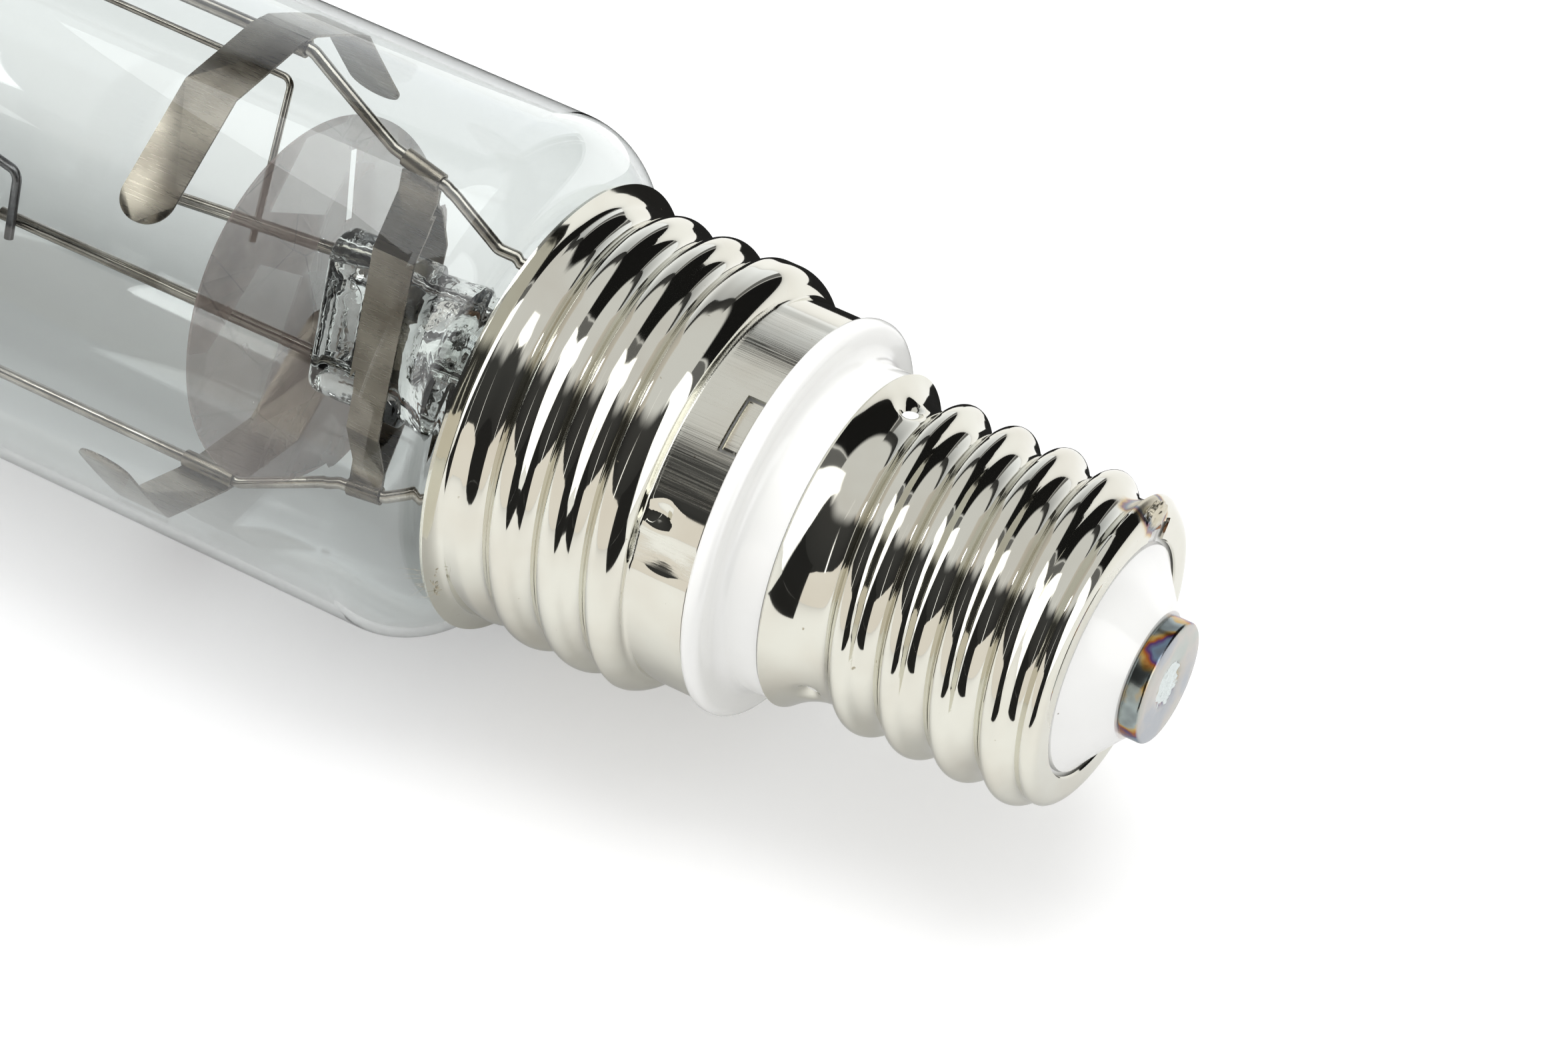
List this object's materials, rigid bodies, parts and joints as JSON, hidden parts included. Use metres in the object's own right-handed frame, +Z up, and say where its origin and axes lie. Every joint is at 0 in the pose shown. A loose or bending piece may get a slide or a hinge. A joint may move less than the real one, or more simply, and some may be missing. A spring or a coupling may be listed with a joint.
{
  "type": "metal halide lamp",
  "caption": "Tubular high-wattage discharge lamp with a clear outer bulb, an inner arc tube on a wire frame, and a screw cap with a threaded metal skirt.",
  "frame": {"origin": "on the lamp's axis, in the plane of the screw shell's open mouth", "axes": "+X along the lamp's axis from the glass dome to the contact pin, +Z up as the lamp lies in the picture"},
  "size_m": [0.3801, 0.065, 0.065],
  "materials": {
    "clear_glass": "clear blown glass, smooth",
    "stem_glass": "clear pressed glass, flame-worked",
    "quartz": "clear fused quartz",
    "nickel_plate": "bright nickel plate on brass",
    "white_ceramic": "smooth white moulding",
    "pin_steel": "steel with temper colours from welding",
    "fibre_tape": "woven glass-fibre tape",
    "steel_rod": "drawn bright steel rod",
    "spring_strip": "rolled steel strip, fine lengthwise grain",
    "mica": "split mica sheet, pinkish brown, crazed",
    "tungsten": "drawn tungsten, grey",
    "molybdenum": "rolled foil",
    "copper_lead": "lead-in wire",
    "getter_metal": "sintered strip on a steel holder"
  },
  "bodies": {
    "root": {"outer_bulb": "clear_glass", "stem": "stem_glass", "neck_packing": "fibre_tape", "cap_skirt": "nickel_plate", "insulator": "white_ceramic", "screw_shell": "nickel_plate", "contact_pin": "pin_steel", "mica_disc": "mica", "mount_frame": "steel_rod", "stem_clamp_front": "spring_strip", "stem_clamp_back": "spring_strip", "lead_rod_short": "steel_rod", "lead_rod_long": "steel_rod", "return_wire": "steel_rod", "arc_tube": "quartz", "electrode_near": "tungsten", "electrode_far": "tungsten", "foil_near": "molybdenum", "foil_far": "molybdenum", "pinch_lead_near": "molybdenum", "pinch_lead_far": "molybdenum", "arc_clamp_near_front": "spring_strip", "arc_clamp_near_back": "spring_strip", "arc_clamp_far_front": "spring_strip", "arc_clamp_far_back": "spring_strip", "leaf_spring_near_upper": "spring_strip", "leaf_spring_near_lower": "spring_strip", "leaf_spring_far_upper": "spring_strip", "leaf_spring_far_lower": "spring_strip", "getter": "getter_metal", "centre_lead": "copper_lead", "side_lead": "copper_lead"}
  },
  "joints": []
}
